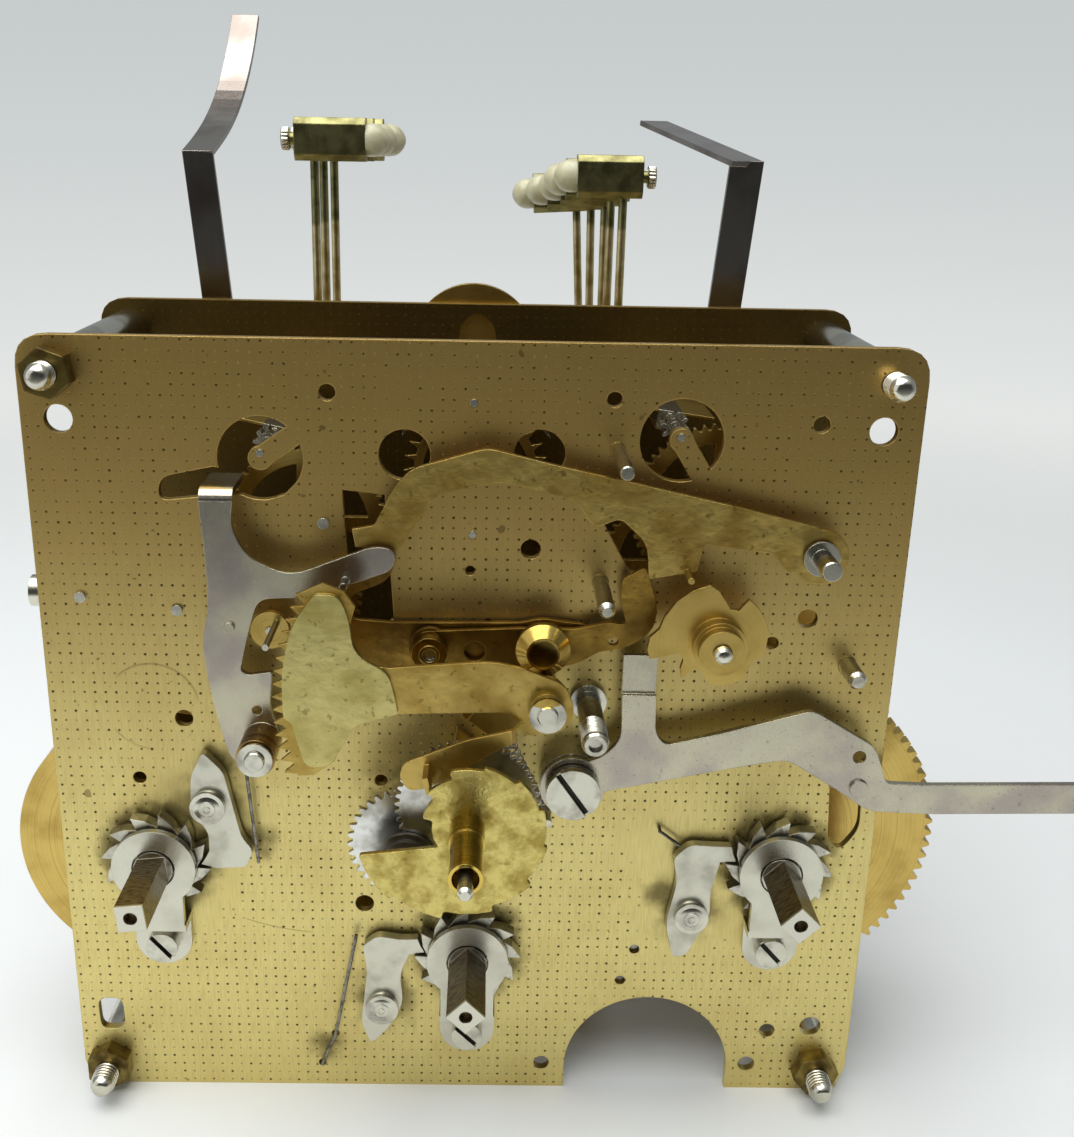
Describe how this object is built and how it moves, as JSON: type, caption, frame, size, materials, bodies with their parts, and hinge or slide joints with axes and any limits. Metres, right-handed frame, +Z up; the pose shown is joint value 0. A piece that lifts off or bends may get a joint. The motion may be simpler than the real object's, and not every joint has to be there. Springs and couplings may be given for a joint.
{
  "type": "clock movement",
  "caption": "Chiming clock movement: brass plates with wheel trains, barrels, rack striking and chime levers, winding squares, hour pipe and hammers above.",
  "frame": {"origin": "the centre arbor's axis at the front face of the front plate", "axes": "+X to the right as seen from the dial side, +Y from the front plate into the movement, +Z up"},
  "size_m": [0.187, 0.1383, 0.1868],
  "materials": {
    "plate_brass": "lacquered, fine brushed grain, aged",
    "wheel_brass": "cut and brushed, oily in places",
    "lever_brass": "stamped and turned, lightly tarnished",
    "hammer_brass": "turned and lacquered, with nylon tips",
    "dark_bronze": "dark tarnished",
    "nickel_steel": "satin nickel plated",
    "polished_steel": "polished",
    "hardened_steel": "ground, oily",
    "spring_steel": "drawn wire and strip"
  },
  "bodies": {
    "frame": {"front_plate": "plate_brass", "back_plate": "plate_brass", "plate_pillars": "polished_steel", "pillar_nuts": "dark_bronze", "ratchet_retainers": "nickel_steel", "retainer_screws": "polished_steel", "click_rivets": "polished_steel", "click_springs": "spring_steel", "stop_posts": "lever_brass", "lever_studs": "lever_brass", "silent_lever_screw": "polished_steel", "side_screw": "polished_steel", "back_cock": "lever_brass", "hammer_brackets": "lever_brass", "left_strap": "nickel_steel", "right_strap": "nickel_steel", "mainsprings": "spring_steel", "rack_spring": "spring_steel"},
    "going_barrel": {"going_barrel": "wheel_brass"},
    "second_wheel": {"second_wheel": "wheel_brass"},
    "centre_arbor": {"centre_arbor": "wheel_brass"},
    "third_wheel": {"third_wheel": "wheel_brass"},
    "escape_wheel": {"escape_wheel": "wheel_brass"},
    "cannon_pinion": {"cannon_pinion": "wheel_brass"},
    "minute_wheel": {"minute_wheel": "nickel_steel"},
    "hour_wheel": {"hour_wheel": "nickel_steel", "hour_snail": "wheel_brass"},
    "strike_barrel": {"strike_barrel": "wheel_brass"},
    "strike_pin_wheel": {"strike_pin_wheel": "wheel_brass"},
    "strike_third_wheel": {"strike_third_wheel": "wheel_brass"},
    "gathering_arbor": {"gathering_arbor": "wheel_brass", "gathering_pallet": "nickel_steel"},
    "strike_warning_wheel": {"strike_warning_wheel": "wheel_brass"},
    "strike_fly": {"strike_fly": "wheel_brass"},
    "chime_barrel": {"chime_barrel": "wheel_brass"},
    "chime_second_wheel": {"chime_second_wheel": "wheel_brass"},
    "locking_arbor": {"locking_arbor": "wheel_brass", "locking_cam": "wheel_brass"},
    "chime_fourth_wheel": {"chime_fourth_wheel": "wheel_brass"},
    "chime_fly": {"chime_fly": "wheel_brass"},
    "chime_drum": {"chime_drum": "wheel_brass"},
    "strike_winding_arbor": {"strike_winding_arbor": "hardened_steel"},
    "strike_click": {"strike_click": "hardened_steel"},
    "going_winding_arbor": {"going_winding_arbor": "hardened_steel"},
    "going_click": {"going_click": "hardened_steel"},
    "chime_winding_arbor": {"chime_winding_arbor": "hardened_steel"},
    "chime_click": {"chime_click": "hardened_steel"},
    "pallet_arbor": {"pallet_arbor": "polished_steel"},
    "rack": {"rack": "lever_brass"},
    "rack_hook": {"rack_hook": "nickel_steel"},
    "warning_lever": {"warning_lever": "nickel_steel"},
    "lifting_lever": {"lifting_lever": "nickel_steel"},
    "lock_lever": {"lock_lever": "nickel_steel"},
    "silent_lever": {"silent_lever": "nickel_steel"},
    "strike_hammers": {"strike_hammers": "hammer_brass"},
    "chime_hammer_1": {"chime_hammer_1": "hammer_brass"},
    "chime_hammer_2": {"chime_hammer_2": "hammer_brass"},
    "chime_hammer_3": {"chime_hammer_3": "hammer_brass"},
    "chime_hammer_4": {"chime_hammer_4": "hammer_brass"},
    "chime_hammer_5": {"chime_hammer_5": "hammer_brass"}
  },
  "joints": [
    {"name": "going_barrel_turn", "type": "hinge", "parent": "frame", "child": "going_barrel", "pos_m": [0, 0, -0.0372], "axis": [0, 1, 0], "continuous": true},
    {"name": "second_wheel_turn", "type": "hinge", "parent": "frame", "child": "second_wheel", "pos_m": [0.01694, 0, -0.01154], "axis": [0, 1, 0], "continuous": true},
    {"name": "centre_arbor_turn", "type": "hinge", "parent": "frame", "child": "centre_arbor", "pos_m": [0, 0, 0], "axis": [0, 1, 0], "continuous": true},
    {"name": "third_wheel_turn", "type": "hinge", "parent": "frame", "child": "third_wheel", "pos_m": [0.00502, 0, 0.01936], "axis": [0, 1, 0], "continuous": true},
    {"name": "escape_wheel_turn", "type": "hinge", "parent": "frame", "child": "escape_wheel", "pos_m": [0, 0, 0.0382], "axis": [0, 1, 0], "continuous": true},
    {"name": "cannon_pinion_turn", "type": "hinge", "parent": "frame", "child": "cannon_pinion", "pos_m": [0, 0, 0], "axis": [0, 1, 0], "continuous": true},
    {"name": "minute_wheel_turn", "type": "hinge", "parent": "frame", "child": "minute_wheel", "pos_m": [-0.00949, 0, -0.00903], "axis": [0, 1, 0], "continuous": true},
    {"name": "hour_wheel_turn", "type": "hinge", "parent": "frame", "child": "hour_wheel", "pos_m": [0, 0, 0], "axis": [0, 1, 0], "continuous": true},
    {"name": "strike_barrel_turn", "type": "hinge", "parent": "frame", "child": "strike_barrel", "pos_m": [-0.0526, 0, -0.0195], "axis": [0, 1, 0], "continuous": true},
    {"name": "strike_pin_wheel_turn", "type": "hinge", "parent": "frame", "child": "strike_pin_wheel", "pos_m": [-0.0526, 0, 0.00715], "axis": [0, 1, 0], "continuous": true},
    {"name": "strike_third_wheel_turn", "type": "hinge", "parent": "frame", "child": "strike_third_wheel", "pos_m": [-0.0456, 0, 0.0233], "axis": [0, 1, 0], "continuous": true},
    {"name": "gathering_arbor_turn", "type": "hinge", "parent": "frame", "child": "gathering_arbor", "pos_m": [-0.0316, 0, 0.0234], "axis": [0, 1, 0], "continuous": true},
    {"name": "strike_warning_wheel_turn", "type": "hinge", "parent": "frame", "child": "strike_warning_wheel", "pos_m": [-0.02712, 0, 0.03719], "axis": [0, 1, 0], "continuous": true},
    {"name": "strike_fly_turn", "type": "hinge", "parent": "frame", "child": "strike_fly", "pos_m": [-0.0328, 0, 0.0508], "axis": [0, 1, 0], "continuous": true},
    {"name": "chime_barrel_turn", "type": "hinge", "parent": "frame", "child": "chime_barrel", "pos_m": [0.0526, 0, -0.0195], "axis": [0, 1, 0], "continuous": true},
    {"name": "chime_second_wheel_turn", "type": "hinge", "parent": "frame", "child": "chime_second_wheel", "pos_m": [0.05236, 0, 0.0138], "axis": [0, 1, 0], "continuous": true},
    {"name": "locking_arbor_turn", "type": "hinge", "parent": "frame", "child": "locking_arbor", "pos_m": [0.0384, 0, 0.0235], "axis": [0, 1, 0], "continuous": true},
    {"name": "chime_fourth_wheel_turn", "type": "hinge", "parent": "frame", "child": "chime_fourth_wheel", "pos_m": [0.03988, 0, 0.04043], "axis": [0, 1, 0], "continuous": true},
    {"name": "chime_fly_turn", "type": "hinge", "parent": "frame", "child": "chime_fly", "pos_m": [0.0319, 0, 0.0543], "axis": [0, 1, 0], "continuous": true},
    {"name": "chime_drum_turn", "type": "hinge", "parent": "frame", "child": "chime_drum", "pos_m": [0.03545, 0, 0.00764], "axis": [0, 1, 0], "continuous": true},
    {"name": "strike_winding_turn", "type": "hinge", "parent": "frame", "child": "strike_winding_arbor", "pos_m": [-0.0526, 0, -0.0195], "axis": [0, 1, 0], "range_deg": [0, 26], "deforming": ["click_springs"]},
    {"name": "strike_click_lift", "type": "hinge", "parent": "frame", "child": "strike_click", "pos_m": [-0.0433, 0, -0.0087], "axis": [0, 1, 0], "range_deg": [-14, 0]},
    {"name": "going_winding_turn", "type": "hinge", "parent": "frame", "child": "going_winding_arbor", "pos_m": [0, 0, -0.0372], "axis": [0, 1, 0], "range_deg": [-26, 0], "deforming": ["click_springs"]},
    {"name": "going_click_lift", "type": "hinge", "parent": "frame", "child": "going_click", "pos_m": [-0.0149, 0, -0.0478], "axis": [0, 1, 0], "range_deg": [-14, 0]},
    {"name": "chime_winding_turn", "type": "hinge", "parent": "frame", "child": "chime_winding_arbor", "pos_m": [0.0526, 0, -0.0195], "axis": [0, 1, 0], "range_deg": [-26, 0], "deforming": ["click_springs"]},
    {"name": "chime_click_lift", "type": "hinge", "parent": "frame", "child": "chime_click", "pos_m": [0.0382, 0, -0.0287], "axis": [0, 1, 0], "range_deg": [-14, 0]},
    {"name": "pallet_rock", "type": "hinge", "parent": "frame", "child": "pallet_arbor", "pos_m": [0, 0, 0.0591], "axis": [0, 1, 0], "range_deg": [-0.5, 0.5]},
    {"name": "rack_swing", "type": "hinge", "parent": "frame", "child": "rack", "pos_m": [0.0118, 0, 0.0152], "axis": [0, 1, 0], "range_deg": [0, 18], "stiffness_Nm_per_rad": 0.002, "springref_deg": -20.05, "deforming": ["rack_spring"]},
    {"name": "rack_hook_swing", "type": "hinge", "parent": "frame", "child": "rack_hook", "pos_m": [-0.0332, 0, 0.0052], "axis": [0, 1, 0], "range_deg": [-5, 0]},
    {"name": "warning_lever_swing", "type": "hinge", "parent": "frame", "child": "warning_lever", "pos_m": [-0.0065, 0, 0.0203], "axis": [0, 1, 0], "range_deg": [-2.5, 0]},
    {"name": "lifting_lever_swing", "type": "hinge", "parent": "frame", "child": "lifting_lever", "pos_m": [0.0113, 0, 0.0216], "axis": [0, 1, 0], "range_deg": [0, 2.5]},
    {"name": "lock_lever_swing", "type": "hinge", "parent": "frame", "child": "lock_lever", "pos_m": [0.0539, 0, 0.0368], "axis": [0, 1, 0], "range_deg": [0, 4]},
    {"name": "silent_lever_swing", "type": "hinge", "parent": "frame", "child": "silent_lever", "pos_m": [0.0168, 0, -0.003], "axis": [0, 1, 0], "range_deg": [-6, 5]},
    {"name": "strike_hammers_swing", "type": "hinge", "parent": "frame", "child": "strike_hammers", "pos_m": [-0.029, 0, 0.038], "axis": [0, 1, 0], "range_deg": [-10, 0]},
    {"name": "chime_hammer_1_swing", "type": "hinge", "parent": "frame", "child": "chime_hammer_1", "pos_m": [0.024, 0, 0.038], "axis": [0, 1, 0], "range_deg": [0, 12]},
    {"name": "chime_hammer_2_swing", "type": "hinge", "parent": "frame", "child": "chime_hammer_2", "pos_m": [0.024, 0, 0.038], "axis": [0, 1, 0], "range_deg": [0, 12]},
    {"name": "chime_hammer_3_swing", "type": "hinge", "parent": "frame", "child": "chime_hammer_3", "pos_m": [0.024, 0, 0.038], "axis": [0, 1, 0], "range_deg": [0, 12]},
    {"name": "chime_hammer_4_swing", "type": "hinge", "parent": "frame", "child": "chime_hammer_4", "pos_m": [0.024, 0, 0.038], "axis": [0, 1, 0], "range_deg": [0, 12]},
    {"name": "chime_hammer_5_swing", "type": "hinge", "parent": "frame", "child": "chime_hammer_5", "pos_m": [0.024, 0, 0.038], "axis": [0, 1, 0], "range_deg": [0, 12]}
  ],
  "couplings": [
    {"joint": "going_barrel_turn", "follows": "centre_arbor_turn", "ratio": 0.01929},
    {"joint": "second_wheel_turn", "follows": "centre_arbor_turn", "ratio": -0.13889},
    {"joint": "third_wheel_turn", "follows": "centre_arbor_turn", "ratio": -9},
    {"joint": "escape_wheel_turn", "follows": "centre_arbor_turn", "ratio": 78.75},
    {"joint": "cannon_pinion_turn", "follows": "centre_arbor_turn", "ratio": 1},
    {"joint": "minute_wheel_turn", "follows": "centre_arbor_turn", "ratio": -0.41667},
    {"joint": "hour_wheel_turn", "follows": "centre_arbor_turn", "ratio": 0.083333},
    {"joint": "strike_barrel_turn", "follows": "gathering_arbor_turn", "ratio": -0.0033069},
    {"joint": "strike_pin_wheel_turn", "follows": "gathering_arbor_turn", "ratio": 0.02381},
    {"joint": "strike_third_wheel_turn", "follows": "gathering_arbor_turn", "ratio": -0.16667},
    {"joint": "strike_warning_wheel_turn", "follows": "gathering_arbor_turn", "ratio": -6.25},
    {"joint": "strike_fly_turn", "follows": "gathering_arbor_turn", "ratio": 39.844},
    {"joint": "chime_barrel_turn", "follows": "locking_arbor_turn", "ratio": 0.016667},
    {"joint": "chime_second_wheel_turn", "follows": "locking_arbor_turn", "ratio": -0.13333},
    {"joint": "chime_fourth_wheel_turn", "follows": "locking_arbor_turn", "ratio": -7.5},
    {"joint": "chime_fly_turn", "follows": "locking_arbor_turn", "ratio": 52.5},
    {"joint": "chime_drum_turn", "follows": "locking_arbor_turn", "ratio": 0.066667},
    {"joint": "strike_click_lift", "follows": "strike_winding_turn", "ratio": -0.5},
    {"joint": "going_click_lift", "follows": "going_winding_turn", "ratio": 0.5},
    {"joint": "chime_click_lift", "follows": "chime_winding_turn", "ratio": 0.5}
  ]
}
